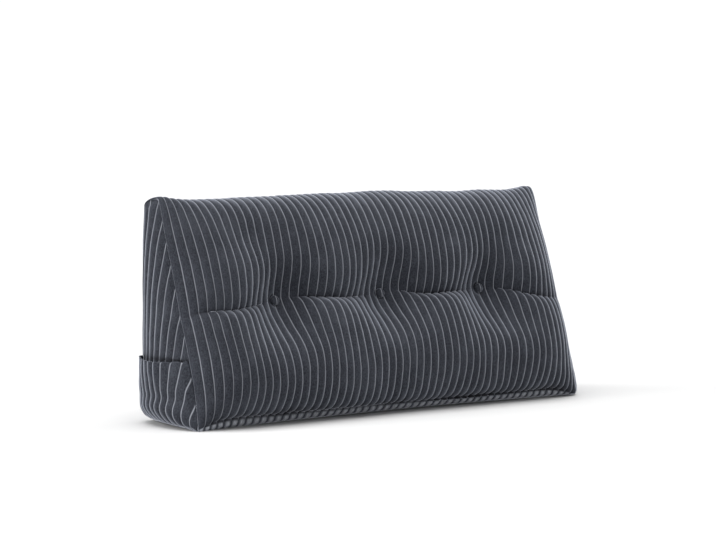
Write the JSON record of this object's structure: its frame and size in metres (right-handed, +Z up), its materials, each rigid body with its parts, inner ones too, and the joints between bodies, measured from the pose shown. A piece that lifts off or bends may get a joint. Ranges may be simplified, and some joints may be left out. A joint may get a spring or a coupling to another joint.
{
  "type": "wedge cushion",
  "caption": "Long wedge-shaped backrest cushion in wide-ribbed corduroy velvet, with a button-tufted sloping front and a patch pocket on each end.",
  "frame": {"origin": "on the surface the cushion stands on, under the middle of its box", "axes": "+X along the length, to the right seen from the sloping front; +Y from the front to the upright back; +Z up"},
  "size_m": [1.1509, 0.2793, 0.4982],
  "materials": {
    "body_cloth": "wide-ribbed corduroy velvet in dark blue-grey, brushed pile with light grooves",
    "pocket_cloth": "the same corduroy velvet, a little more worn",
    "button_cloth": "corduroy velvet stretched over a button"
  },
  "bodies": {
    "root": {"cushion": "body_cloth", "button_left": "button_cloth", "button_middle": "button_cloth", "button_right": "button_cloth", "pocket_left": "pocket_cloth", "pocket_right": "pocket_cloth"}
  },
  "joints": []
}
